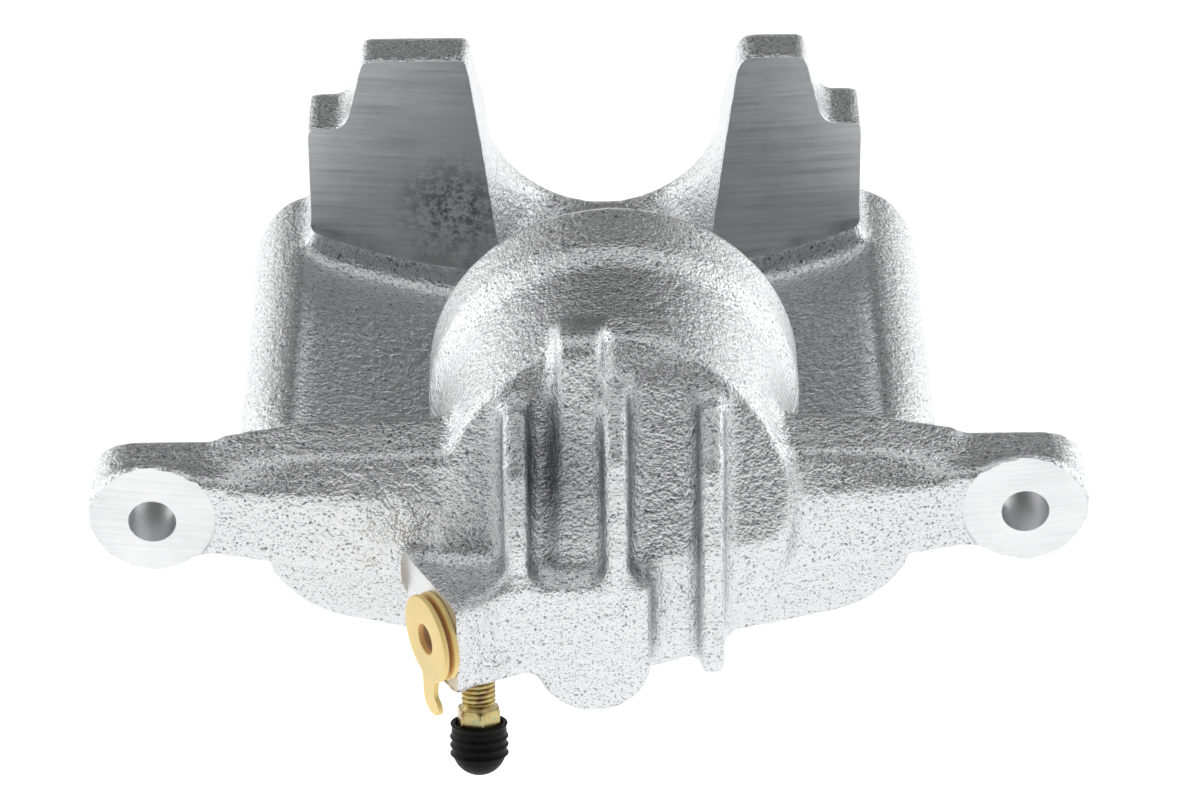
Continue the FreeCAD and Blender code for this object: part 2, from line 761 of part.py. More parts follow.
def make_ring():
    """Split wire ring, open at the top of the barrel."""
    body = new_body("boot_retaining_ring")
    sketch = new_sketch(body, "ring_wire", "YZ_Plane")
    wire = "dims.ring_wire_radius"
    draw_circle(
        sketch,
        f"dims.barrel_mouth - dims.boot_seat_depth + 1.6 + {wire}",
        f"dims.boot_seat_radius - 0.15 - {wire}",
        wire,
    )
    revolve(body, sketch, angle="360 - dims.ring_gap_angle")
    body.setExpression("Placement.Base.x", "dims.barrel_offset")
    return body


# ---------------------------------------------------------------- bleed screw, its cap and the port plug

def place_on_bleeder(body):
    """Local +Z runs out of the housing along the bleed screw."""
    position = ("dims.bleeder_x", "dims.bleeder_y", "dims.bleeder_z")
    place_along(body, position, (1, 0, 0), "180 - dims.bleeder_tilt")


def make_bleeder():
    """Threaded shank, hexagon and hollow nipple. The thread is drawn as plain grooves."""
    radius = "dims.bleeder_diameter / 2"
    hex_start = "dims.bleeder_thread_length"
    hex_end = f"{hex_start} + dims.bleeder_hex_height"
    tip = f"{hex_end} + dims.nipple_length"
    core = f"{radius} - dims.thread_depth"
    outline = [
        ("0", "0.8 - dims.bleeder_hole_depth"),
        (f"{radius} - 1.6", "0.8 - dims.bleeder_hole_depth"),
        (radius, "2.4 - dims.bleeder_hole_depth"),
        (radius, "0.6"),
    ]
    turns = int(value("dims.bleeder_thread_length / dims.thread_pitch"))
    for turn in range(turns):
        start = f"0.6 + {turn} * dims.thread_pitch"
        outline.append((core, f"{start} + 0.5 * dims.thread_pitch"))
        outline.append((radius, f"{start} + dims.thread_pitch"))
    outline += [
        (radius, hex_end),
        ("dims.nipple_radius", hex_end),
        ("dims.nipple_radius", f"{tip} - 2.4"),
        ("dims.nipple_barb_radius", f"{tip} - 2.2"),
        ("dims.nipple_barb_radius - 0.9", tip),
        ("0", tip),
    ]
    body = new_body("bleeder_screw")
    sketch = new_sketch(body, "bleeder_outline", "XZ_Plane")
    draw_outline(sketch, outline)
    revolve(body, sketch, axis="V_Axis")

    hexagon = new_sketch(body, "bleeder_hexagon", "XY_Plane", hex_start)
    corner_radius = "dims.bleeder_hex_flats / sqrt(3)"
    draw_outline(hexagon, [
        (f"{corner_radius} * cos({60 * corner})", f"{corner_radius} * sin({60 * corner})")
        for corner in range(6)
    ])
    add_pad(body, hexagon, "dims.bleeder_hex_height")

    channel = new_sketch(body, "bleeder_channel", "XY_Plane", tip)
    draw_circle(channel, "0", "0", "dims.bleeder_channel_radius")
    cut_pocket(body, channel, f"{tip} + dims.bleeder_hole_depth - 5")
    place_on_bleeder(body)
    return body


def make_cap():
    """Domed rubber cap with three thin ridges, hollow to fit over the nipple and the hexagon's end."""
    mouth = "dims.cap_mouth"
    radius = "dims.cap_radius"
    end = f"{mouth} + dims.cap_length"
    hex_end = "dims.bleeder_thread_length + dims.bleeder_hex_height"
    nipple_end = f"{hex_end} + dims.nipple_length"
    skirt = "dims.bleeder_hex_flats / sqrt(3) + 0.15"
    sleeve = "dims.nipple_barb_radius + dims.cap_fit"
    outline = [
        ("0", f"{nipple_end} + 0.15"),
        (sleeve, f"{nipple_end} + 0.15"),
        (sleeve, f"{hex_end} + 0.1"),
        (skirt, f"{hex_end} + 0.1"),
        (skirt, mouth),
        (f"{radius} - 0.3", mouth),
    ]
    for ridge in range(3):
        centre = f"{mouth} + {2.4 + 1.7 * ridge}"
        outline += [
            (radius, f"{centre} - 0.5"),
            (f"{radius} + dims.cap_ridge", f"{centre} - 0.1"),
            (f"{radius} + dims.cap_ridge", f"{centre} + 0.1"),
            (radius, f"{centre} + 0.5"),
        ]
    dome = f"({radius} - dims.cap_crown)"
    outline += [
        (radius, f"{end} - {dome}", f"{dome} + 0.001", 1),
        ("dims.cap_crown", end),
        ("0", end),
    ]
    body = new_body("bleeder_cap")
    sketch = new_sketch(body, "cap_outline", "XZ_Plane")
    draw_outline(sketch, outline)
    revolve(body, sketch, axis="V_Axis")
    place_on_bleeder(body)
    return body


def make_plug():
    """Plastic plug: hollow shank in the port, two flanges with a groove between, and a pull tab."""
    rear = "dims.plug_flange_thickness"
    front_start = f"{rear} + dims.plug_groove"
    front = f"{front_start} + {rear}"
    body = new_body("inlet_plug")
    sketch = new_sketch(body, "plug_outline", "XZ_Plane")
    draw_outline(sketch, [
        ("0", "-dims.plug_shank_length"),
        ("dims.plug_shank_radius - 0.8", "-dims.plug_shank_length"),
        ("dims.plug_shank_radius", "0.8 - dims.plug_shank_length"),
        ("dims.plug_shank_radius", "0.05"),
        ("dims.plug_flange_radius", "0.05"),
        ("dims.plug_flange_radius", rear),
        ("dims.plug_core_radius", rear),
        ("dims.plug_core_radius", front_start),
        ("dims.plug_flange_radius", front_start),
        ("dims.plug_flange_radius", front),
        ("dims.plug_recess_radius", front),
        ("dims.plug_recess_radius - 0.4", f"{front} - dims.plug_recess_depth"),
        ("0", f"{front} - dims.plug_recess_depth"),
    ])
    revolve(body, sketch, axis="V_Axis")

    tab = new_sketch(body, "pull_tab", "XY_Plane", front_start)
    left = "dims.tab_offset - dims.tab_width / 2"
    right = "dims.tab_offset + dims.tab_width / 2"
    draw_outline(tab, [
        (f"{right} + 2", "1.4 - dims.plug_flange_radius"),
        (f"{left} - 3", "2 - dims.plug_flange_radius"),
        (left, "-dims.plug_flange_radius"),
        (left, "2.5 - dims.tab_drop"),
        ("dims.tab_offset", "-dims.tab_drop"),
        (f"{right} + dims.tab_hook * 0.5", "1.2 - dims.tab_drop"),
        (f"{right} + dims.tab_hook * 0.5", "2.8 - dims.tab_drop"),
        (right, "4 - dims.tab_drop"),
        (right, "-dims.plug_flange_radius"),
    ])
    add_pad(body, tab, rear)
    position = ("dims.port_x", "dims.port_y", "dims.port_z")
    upright = Rotation(Vector(1, 0, 0), 90)
    turned = Rotation(Vector(0, 0, 1), value("270 + dims.port_swing"))
    body.Placement = Placement(Vector(), turned * upright)
    for letter, expression in zip("xyz", position):
        body.setExpression(f"Placement.Base.{letter}", expression)
    return body


# ---------------------------------------------------------------- build, test and write

def check_document(bodies):
    doc.recompute()
    failed = [item.Name for item in doc.Objects if {"Invalid", "Error"} & set(item.State)]
    if failed:
        raise RuntimeError(f"failed objects: {failed}")
    for body in bodies:
        shape = body.Shape
        if shape.isNull() or not shape.isValid() or len(shape.Solids) != 1:
            raise RuntimeError(f"{body.Label} isn't one valid solid")


def write_parts(bodies):
    os.makedirs("parts", exist_ok=True)
    for body in bodies:
        body.Shape.exportStep(f"parts/{body.Label}.step")
        box = body.Shape.BoundBox
        sides = " x ".join(f"{side:.1f}" for side in (box.XLength, box.YLength, box.ZLength))
        print(f"{body.Label}: {body.Shape.Volume:.0f} mm3, {sides}")


bodies = [
    make_housing(),
    make_piston(),
    make_seal(),
    make_boot(),
    make_ring(),
    make_bleeder(),
    make_cap(),
    make_plug(),
]
check_document(bodies)
write_parts(bodies)
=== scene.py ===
"""Look of the brake caliper housing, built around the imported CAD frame. Lengths are in metres."""

import json
import math

import bmesh
import bpy
import numpy as np
import openvdb
from mathutils import Matrix, Vector


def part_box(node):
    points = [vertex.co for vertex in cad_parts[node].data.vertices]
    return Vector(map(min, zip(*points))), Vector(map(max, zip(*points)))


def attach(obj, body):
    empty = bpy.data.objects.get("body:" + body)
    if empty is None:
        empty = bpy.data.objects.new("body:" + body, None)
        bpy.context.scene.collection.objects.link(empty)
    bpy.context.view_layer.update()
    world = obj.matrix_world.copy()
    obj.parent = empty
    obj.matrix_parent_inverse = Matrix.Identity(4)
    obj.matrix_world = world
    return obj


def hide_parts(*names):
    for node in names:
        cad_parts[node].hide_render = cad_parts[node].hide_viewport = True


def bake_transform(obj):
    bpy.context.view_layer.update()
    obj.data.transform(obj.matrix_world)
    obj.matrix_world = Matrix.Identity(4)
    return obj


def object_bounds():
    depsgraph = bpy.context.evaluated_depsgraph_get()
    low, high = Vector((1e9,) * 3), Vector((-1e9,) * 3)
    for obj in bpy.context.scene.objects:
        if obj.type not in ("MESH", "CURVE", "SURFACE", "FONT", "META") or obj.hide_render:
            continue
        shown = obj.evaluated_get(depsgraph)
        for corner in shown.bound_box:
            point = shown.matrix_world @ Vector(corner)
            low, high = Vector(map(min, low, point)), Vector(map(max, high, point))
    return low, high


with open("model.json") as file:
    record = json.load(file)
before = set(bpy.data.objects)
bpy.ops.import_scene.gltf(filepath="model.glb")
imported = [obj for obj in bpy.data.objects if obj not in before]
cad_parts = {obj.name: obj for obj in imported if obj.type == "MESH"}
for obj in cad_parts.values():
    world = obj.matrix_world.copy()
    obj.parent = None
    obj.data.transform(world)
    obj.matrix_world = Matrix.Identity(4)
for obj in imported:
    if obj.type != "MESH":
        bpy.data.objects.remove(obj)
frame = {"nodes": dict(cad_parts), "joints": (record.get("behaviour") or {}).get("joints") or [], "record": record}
cad_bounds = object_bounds()
nodes = frame["nodes"]
mounts = {mount["name"]: mount for mount in frame["record"]["mounts"]}
joints = {joint["name"]: joint for joint in frame["joints"]}

MM = 0.001
piston_low, piston_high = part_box("piston")
boot_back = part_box("dust_boot")[0][1]
bolt_x = mounts["guide_bolts"]["dims"]["spacing_x_mm"] / 2 * MM
hole_radius = mounts["guide_bolts"]["dims"]["hole_r_mm"] * MM
finger_face = mounts["left_finger_pad"]["pos_m"][1]
port_place = Vector(mounts["hose_port"]["pos_m"])
port_axis = Vector(mounts["hose_port"]["axis"])
bleed_place = Vector(joints["bleeder_turn"]["pos_m"])
bleed_axis = Vector(joints["bleeder_turn"]["axis"])

# Barrel: places along the bore are distances from the guide ears' faces
BARREL_X = (piston_low[0] + piston_high[0]) / 2
PISTON_RADIUS = (piston_high[0] - piston_low[0]) / 2
BORE_RADIUS = PISTON_RADIUS + 0.05 * MM
BORE_BOTTOM = 12 * MM
SEAL_GROOVE_START = 46 * MM
SEAL_GROOVE_END = 49.4 * MM
SEAL_GROOVE_DEPTH = 2.9 * MM
SEAT_RADIUS = 33.2 * MM
SEAT_DEPTH = 3.6 * MM
SEAT = boot_back - 0.05 * MM
MOUTH = SEAT + SEAT_DEPTH
MOUTH_FACE_RADIUS = 42 * MM
MOUTH_FACE_DROP = 29.5 * MM

# Fingers and guide ears
DISC_AXIS_HEIGHT = 128.5 * MM
MILLING_RADIUS = 155.5 * MM
MILLING_DEPTH = 12 * MM
EAR_PAD_RADIUS = 12.7 * MM
EAR_PAD_RISE = 0.6 * MM
EAR_THICKNESS = 16 * MM

# Hose port and bleed hole: places along them are distances out of their faces
PORT_RADIUS = 4.5 * MM
PORT_DEPTH = 12 * MM
BLEED_HOLE_RADIUS = 3.55 * MM
BLEED_HOLE_DEPTH = 6.5 * MM
HEX_START = 7.1 * MM
PLUG_SHANK = 6.5 * MM
PLUG_RECESS = 6.0 * MM
PLUG_GROOVE_START = 1.1 * MM
PLUG_GROOVE_END = 2.3 * MM

# Casting and cutters
CAST_VOXEL = 0.6 * MM
CAST_MESH_VOXEL = 1.05 * MM
CAST_FILLET = 2.2 * MM
CAST_ROUND = 1.1 * MM
STOCK = 1.2 * MM
FILLER_MARGIN = 0.5 * MM  # how far a hole's filler reaches past its walls
FACING_CLEARANCE = 5 * MM  # how far a facing cut stands off its face
DRILL_CLEARANCE = 6 * MM  # how far outside a face its drill or boring bar starts
NEAR_AXIS = 0.02 * MM  # smallest radius of a turned profile, which its end caps close

# Look
# dark colour of the flecked patch on the left finger, and of the painted shade in the pocket beside the left rib
DARK_PATCH_AND_PAINTED_SHADE = (0.12, 0.12, 0.13)
CAP_ROOM = 22 * MM  # free height under the object, where the bleeder cap comes off downwards


# ---------------------------------------------------------------- helpers

def link(name, data, body=None):
    """New object in the scene, which rides a body if one is named."""
    thing = bpy.data.objects.new(name, data)
    bpy.context.scene.collection.objects.link(thing)
    if body:
        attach(thing, body)
    return thing


def axis_frame(place, axis, facing=(0, -1, 0)):
    """Matrix that puts local Z along an axis and local X towards a facing direction, as near as it goes."""
    z = Vector(axis).normalized()
    x = (Vector(facing) - z * z.dot(Vector(facing))).normalized()
    turn = Matrix((x, z.cross(x), z)).transposed().to_4x4()
    return Matrix.Translation(place) @ turn


def barrel_frame():
    """Matrix that puts local Z along the bore, pointing at the fingers."""
    return axis_frame((BARREL_X, 0, 0), (0, 1, 0), facing=(1, 0, 0))


def tube_grid(rows, segments, radius_at):
    """Points and faces of a capped tube about Z. radius_at(row, angle) gives (radius, height)."""
    points = []
    for row in range(rows):
        for step in range(segments):
            angle = 2 * math.pi * step / segments
            radius, height = radius_at(row, angle)
            points.append((radius * math.cos(angle), radius * math.sin(angle), height))
    faces = []
    for row in range(rows - 1):
        for step in range(segments):
            here = row * segments + step
            beside = row * segments + (step + 1) % segments
            faces.append((here, beside, beside + segments, here + segments))
    faces.append(tuple(reversed(range(segments))))
    faces.append(tuple(range((rows - 1) * segments, rows * segments)))
    return points, faces


def smooth_by_angle(mesh, degrees):
    mesh.shade_smooth()
    mesh.set_sharp_from_angle(angle=math.radians(degrees))


def mesh_of(name, parts, place=Matrix(), sharp=35):
    """One mesh from several closed (points, faces) shells."""
    points = []
    faces = []
    for part_points, part_faces in parts:
        start = len(points)
        points += part_points
        faces += [tuple(start + corner for corner in face) for face in part_faces]
    mesh = bpy.data.meshes.new(name)
    mesh.from_pydata(points, [], faces)
    mesh.transform(place)
    bm = bmesh.new()
    bm.from_mesh(mesh)
    bmesh.ops.recalc_face_normals(bm, faces=bm.faces)
    bm.to_mesh(mesh)
    bm.free()
    smooth_by_angle(mesh, sharp)
    return mesh


def lathe(profile, segments=96):
    """Solid of revolution about Z through (radius, height) pairs."""
    return tube_grid(len(profile), segments, lambda row, angle: profile[row])


def rounded(profile, radius, steps=4):
    """The profile with each corner between its two ends replaced by a small curve."""
    result = [profile[0]]
    for before, corner, after in zip(profile, profile[1:], profile[2:]):
        corner = Vector(corner)
        legs = [Vector(before) - corner, Vector(after) - corner]
        reach = min(radius, *(0.45 * leg.length for leg in legs))
        start, end = (corner + leg.normalized() * reach for leg in legs)
        for step in range(steps + 1):
            along = step / steps
            point = start * (1 - along) ** 2 + corner * 2 * along * (1 - along) + end * along ** 2
            result.append((point.x, point.y))
    result.append(profile[-1])
    return result


# ---------------------------------------------------------------- cast housing

def bm_arrays(bm):
    """Points and triangles of a bmesh, which is freed."""
    bmesh.ops.triangulate(bm, faces=bm.faces)
    bm.verts.index_update()
    points = np.array([vertex.co[:] for vertex in bm.verts], dtype=np.float32)
    triangles = np.array([[corner.index for corner in face.verts] for face in bm.faces], dtype=np.uint32)
    bm.free()
    return points, triangles


def add_cylinder(bm, start, end, radius, segments=96):
    """Closed cylinder between two points. Its facing is one that no axis here lies along."""
    start = Vector(start)
    along = Vector(end) - start
    place = axis_frame(start + along / 2, along, facing=(1, 0.01, 0.02))
    bmesh.ops.create_cone(
        bm, cap_ends=True, segments=segments, radius1=radius, radius2=radius,
        depth=along.length, matrix=place,
    )


def facing_stock(direction, place):
    """Machining stock: the CAD faces on a plane, thickened outwards."""
    direction = Vector(direction)
    bm = bmesh.new()
    bm.from_mesh(nodes["caliper_housing"].data)
    bmesh.ops.remove_doubles(bm, verts=bm.verts, dist=0.002 * MM)
    off_plane = [
        face for face in bm.faces
        if face.normal.dot(direction) < 0.999
        or abs((face.calc_center_median() - Vector(place)).dot(direction)) > 0.02 * MM
    ]
    bmesh.ops.delete(bm, geom=off_plane, context="FACES")
    bmesh.ops.solidify(bm, geom=bm.faces[:], thickness=-STOCK)
    return bm_arrays(bm)


def casting_solids():
    """The CAD housing, with its holes filled and stock on its machined faces, as closed solids."""
    solids = []
    bm = bmesh.new()
    bm.from_mesh(nodes["caliper_housing"].data)
    solids.append(bm_arrays(bm))

    solids.append(facing_stock((0, -1, 0), (0, finger_face, 0)))
    solids.append(facing_stock(port_axis, port_place))

    bm = bmesh.new()
    for side in (-1, 1):
        x = side * bolt_x
        add_cylinder(bm, (x, FILLER_MARGIN, 0), (x, EAR_THICKNESS, 0), hole_radius + FILLER_MARGIN)
        add_cylinder(bm, (x, -FILLER_MARGIN, EAR_PAD_RISE), (x, 2 * MM, EAR_PAD_RISE), EAR_PAD_RADIUS)
    bore_start = (BARREL_X, BORE_BOTTOM - MM, 0)
    bore_end = (BARREL_X, MOUTH + STOCK, 0)
    add_cylinder(bm, bore_start, bore_end, SEAT_RADIUS + 2 * MM)
    port_bottom = port_place - (PORT_DEPTH + 2 * MM) * port_axis
    add_cylinder(bm, port_place + STOCK * port_axis, port_bottom, PORT_RADIUS + FILLER_MARGIN)
    add_cylinder(bm, bleed_place, bleed_place - 11 * MM * bleed_axis, 4 * MM)
    solids.append(bm_arrays(bm))
    return solids


def level_set(points, triangles=None, quads=None, voxel=CAST_VOXEL):
    """Grid of the distances to a closed surface."""
    return openvdb.FloatGrid.createLevelSetFromPolygons(
        points, triangles=triangles, quads=quads,
        transform=openvdb.createLinearTransform(voxelSize=voxel), halfWidth=6.0,
    )


def grown(grid, distance):
    """Grid of the surface at a distance outside the grid's own, or inside it if negative."""
    points, quads = grid.convertToQuads(distance)
    return level_set(points, quads=quads)


def cast_surface():
    """Points and quads of the casting: every inner corner filleted and every edge rounded."""
    solids = casting_solids()
    starts = np.cumsum([0] + [len(points) for points, _ in solids])
    points = np.concatenate([points for points, _ in solids])
    triangles = np.concatenate([
        triangles + np.uint32(start) for (_, triangles), start in zip(solids, starts)
    ]).astype(np.uint32)
    grid = level_set(points, triangles=triangles)
    grid = grown(grown(grid, CAST_FILLET), -CAST_FILLET)
    grid = grown(grown(grid, -CAST_ROUND), CAST_ROUND)
    points, quads = grid.convertToQuads(0)
    return level_set(points, quads=quads, voxel=CAST_MESH_VOXEL).convertToQuads(0)


def relaxed(points, quads, passes):
    """Points moved towards their neighbours' mean and a little further back, which evens out voxel steps."""
    pairs = np.concatenate([quads[:, [a, b]] for a, b in ((0, 1), (1, 2), (2, 3), (3, 0))])
    pairs = np.concatenate([pairs, pairs[:, ::-1]])
    counts = np.bincount(pairs[:, 0], minlength=len(points))[:, None]
    moved = points.astype(np.float64)
    for factor in (0.5, -0.52) * passes:
        total = np.stack([
            np.bincount(pairs[:, 0], weights=moved[pairs[:, 1], axis], minlength=len(points))
            for axis in range(3)
        ], axis=1)
        moved += factor * (total / counts - moved)
    return moved


def cut_ears(bm):
    """Milled pad and drilled guide hole of both ears."""
    for side in (-1, 1):
        x = side * bolt_x
        add_cylinder(bm, (x, -FACING_CLEARANCE, EAR_PAD_RISE), (x, 0, EAR_PAD_RISE), EAR_PAD_RADIUS)
        hole_end = (x, EAR_THICKNESS + FACING_CLEARANCE, 0)
        add_cylinder(bm, (x, -DRILL_CLEARANCE, 0), hole_end, hole_radius, segments=64)


def cut_fingers(bm):
    """Inner faces of the fingers, milled in one sweep about the disc's axis."""
    start = (0, finger_face - MILLING_DEPTH, DISC_AXIS_HEIGHT)
    end = (0, finger_face, DISC_AXIS_HEIGHT)
    add_cylinder(bm, start, end, MILLING_RADIUS, segments=512)


def cut_port_and_bleed_hole(bm):
    """Milled face around the hose port, the port itself and the bleed hole."""
    size = Vector((24, 21.5, 5)) * MM
    middle = Vector((-3.0, 0.6, 2.5)) * MM
    face_place = axis_frame(port_place, port_axis) @ Matrix.Translation(middle)
    bmesh.ops.create_cube(bm, size=1, matrix=face_place @ Matrix.Diagonal((*size, 1)))
    port_start = port_place + DRILL_CLEARANCE * port_axis
    add_cylinder(bm, port_start, port_place - PORT_DEPTH * port_axis, PORT_RADIUS, segments=64)
    bleed_start = bleed_place + DRILL_CLEARANCE * bleed_axis
    bleed_end = bleed_place - BLEED_HOLE_DEPTH * bleed_axis
    add_cylinder(bm, bleed_start, bleed_end, BLEED_HOLE_RADIUS, segments=64)


def cut_bore(bm):
    """Bore with the seal's groove and the boot's seat."""
    tip = NEAR_AXIS / 2
    groove = BORE_RADIUS + SEAL_GROOVE_DEPTH
    end = MOUTH + DRILL_CLEARANCE
    profile = [
        (tip, BORE_BOTTOM), (BORE_RADIUS, BORE_BOTTOM), (BORE_RADIUS, SEAL_GROOVE_START),
        (groove, SEAL_GROOVE_START), (groove, SEAL_GROOVE_END), (BORE_RADIUS, SEAL_GROOVE_END),
        (BORE_RADIUS, SEAT), (SEAT_RADIUS, SEAT), (SEAT_RADIUS, end), (tip, end),
    ]
    bm.from_mesh(mesh_of("bore_cutter", [lathe(profile, 192)], barrel_frame()))


def cut_mouth(bm):
    """Slab that faces the barrel's mouth, round except for a flat lower side."""
    dip = math.asin(MOUTH_FACE_DROP / MOUTH_FACE_RADIUS)
    steps = 96
    angles = [-dip + step * (math.pi + 2 * dip) / steps for step in range(steps + 1)]
    outline = [
        (BARREL_X + MOUTH_FACE_RADIUS * math.cos(angle), MOUTH, MOUTH_FACE_RADIUS * math.sin(angle))
        for angle in angles
    ]
    lid = bm.faces.new([bm.verts.new(corner) for corner in outline])
    raised = bmesh.ops.extrude_face_region(bm, geom=[lid], use_keep_orig=True)["geom"]
    raised_corners = [item for item in raised if isinstance(item, bmesh.types.BMVert)]
    bmesh.ops.translate(bm, vec=(0, FACING_CLEARANCE, 0), verts=raised_corners)


def machining_cutter():
    """What the machine tools remove, as one mesh with a closed island for each cut."""
    bm = bmesh.new()
    cut_ears(bm)
    cut_fingers(bm)
    cut_port_and_bleed_hole(bm)
    cut_bore(bm)
    cut_mouth(bm)
    bmesh.ops.recalc_face_normals(bm, faces=bm.faces)
    mesh = bpy.data.meshes.new("machining")
    bm.to_mesh(mesh)
    bm.free()
    return mesh


def separate_islands(mesh):
    """One object for each closed island of the mesh."""
    bm = bmesh.new()
    bm.from_mesh(mesh)
    islands = []
    left = set(bm.verts)
    while left:
        stack = [left.pop()]
        island = set(stack)
        while stack:
            for edge in stack.pop().link_edges:
                beside = left.intersection(edge.verts)
                left -= beside
                island |= beside
                stack += beside
        islands.append({vertex.index for vertex in island})
    bm.free()
    cutters = []
    for number, island in enumerate(sorted(islands, key=min)):
        piece = mesh.copy()
        bm = bmesh.new()
        bm.from_mesh(piece)
        others = [vertex for vertex in bm.verts if vertex.index not in island]
        bmesh.ops.delete(bm, geom=others, context="VERTS")
        bm.to_mesh(piece)
        bm.free()
        cutters.append(link(f"cutter_{number}", piece))
    return cutters


def make_casting(cast, machined):
    """The housing as a casting, with its machined faces cut into it."""
    points, quads = cast_surface()
    mesh = bpy.data.meshes.new("housing_casting")
    mesh.from_pydata(relaxed(points, quads, 3), [], quads[:, ::-1])
    mesh.materials.append(cast)
    casting = link("housing_casting", mesh)
    cutters = separate_islands(machining_cutter())
    for cutter in cutters:
        cutter.data.materials.append(machined)
        cut = casting.modifiers.new(cutter.name, "BOOLEAN")
        cut.operation = "DIFFERENCE"
        cut.solver = "MANIFOLD"
        cut.object = cutter
        cut.material_mode = "TRANSFER"
    depsgraph = bpy.context.evaluated_depsgraph_get()
    finished = bpy.data.meshes.new_from_object(casting.evaluated_get(depsgraph))
    casting.modifiers.clear()
    casting.data = finished
    for cutter in cutters:
        bpy.data.objects.remove(cutter)
    smooth_by_angle(finished, 32)
    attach(casting, "housing")
    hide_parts("caliper_housing")


# ---------------------------------------------------------------- materials

class Nodes:
    """Short way to write a node tree. place holds the texture coordinate that its patterns use."""

    def __init__(self, tree, coordinate="Object"):
        self.tree = tree
        self.place = self.add("ShaderNodeTexCoord").outputs[coordinate]

    def add(self, kind, inputs=None, **settings):
        node = self.tree.nodes.new(kind)
        for key, value in settings.items():
            setattr(node, key, value)
        for socket, value in (inputs or {}).items():
            if isinstance(value, bpy.types.NodeSocket):
                self.tree.links.new(value, node.inputs[socket])
            else:
                node.inputs[socket].default_value = value
        return node

    def noise(self, scale, detail=2.0, roughness=0.5, place=None):
        node = self.add("ShaderNodeTexNoise", {
            "Vector": place or self.place, "Scale": scale, "Detail": detail, "Roughness": roughness,
        })
        return node.outputs["Fac"]

    def math(self, operation, *values):
        inputs = dict(enumerate(values))
        return self.add("ShaderNodeMath", inputs, operation=operation).outputs[0]

    def between(self, factor, low, high, from_low=0.0, from_high=1.0):
        node = self.add("ShaderNodeMapRange", {
            "Value": factor, "From Min": from_low, "From Max": from_high, "To Min": low, "To Max": high,
        })
        return node.outputs["Result"]

    def ramp(self, factor, *stops):
        node = self.add("ShaderNodeValToRGB", {"Fac": factor})
        while len(node.color_ramp.elements) < len(stops):
            node.color_ramp.elements.new(0.5)
        for element, (position, colour) in zip(node.color_ramp.elements, stops):
            element.position = position
            element.color = (*colour, 1)
        return node.outputs["Color"]

    def mix(self, factor, colour, other):
        """A colour socket blended towards another fixed colour."""
        node = self.add("ShaderNodeMixRGB", {"Fac": factor, "Color1": colour, "Color2": (*other, 1)})
        return node.outputs["Color"]

    def vector(self, operation, *values):
        return self.add("ShaderNodeVectorMath", dict(enumerate(values)), operation=operation)

    def stretched(self, scale):
        return self.add("ShaderNodeMapping", {"Vector": self.place, "Scale": scale}).outputs["Vector"]

    def bump(self, height, distance, strength=1.0, normal=None):
        inputs = {"Height": height, "Distance": distance, "Strength": strength}
        if normal:
            inputs["Normal"] = normal
        return self.add("ShaderNodeBump", inputs).outputs["Normal"]

    def near(self, place, inner, outer):
        """1 within the inner distance of a place, falling to 0 at the outer one."""
        distance = self.vector("DISTANCE", self.place, place).outputs["Value"]
        return self.between(distance, 1.0, 0.0, inner, outer)


class Finish(Nodes):
    """Node tree of a new material, around its Principled shader."""

    def __init__(self, name, **shader_values):
        self.material = bpy.data.materials.new(name)
        self.material.use_nodes = True
        super().__init__(self.material.node_tree)
        self.shader = self.tree.nodes["Principled BSDF"]
        for socket, value in shader_values.items():
            self.shader.inputs[socket.replace("_", " ")].default_value = value

    def use(self, **sockets):
        """Link sockets to the shader's inputs, and give the finished material."""
        for socket, value in sockets.items():
            self.tree.links.new(value, self.shader.inputs[socket.replace("_", " ")])
        return self.material


def cast_zinc():
    """Zinc plating over a sand-cast skin: fine grain, pits, clouds, and one rough scab.

    The pocket beside the left rib is darkened with painted shade in the base colour.
    """
    n = Finish("plated_cast_skin", Metallic=1.0)
    grain = n.noise(1500, 3.0, 0.6)
    lumps = n.noise(520, 2.0, 0.5)
    clouds = n.noise(38, 4.0, 0.6)
    flaw = n.near((-39 * MM, 0, MM), 4 * MM, 10 * MM)
    scabs = n.math("MULTIPLY", n.noise(330, 3.0, 0.7), flaw)
    coarse = n.bump(lumps, 0.42 * MM, normal=n.bump(scabs, 1.6 * MM))
    fine = n.bump(grain, 0.36 * MM, normal=coarse)
    pits = n.between(grain, 0.0, 1.0, 0.32, 0.46)
    shade = n.ramp(n.math("MULTIPLY", pits, n.between(clouds, 0.84, 1.0)),
                   (0.0, (0.14, 0.145, 0.15)), (0.6, (0.66, 0.67, 0.68)), (1.0, (0.76, 0.765, 0.77)))
    # painted shade: the base colour is darkened far down in the pocket between the left rib and the column
    pocket_shade = n.near((-9 * MM, 0, 11 * MM), 4 * MM, 18 * MM)
    shade = n.mix(n.math("MULTIPLY", pocket_shade, 0.6), shade, DARK_PATCH_AND_PAINTED_SHADE)
    rough = n.between(clouds, 0.17, 0.29)
    return n.use(Base_Color=shade, Roughness=rough, Normal=fine)


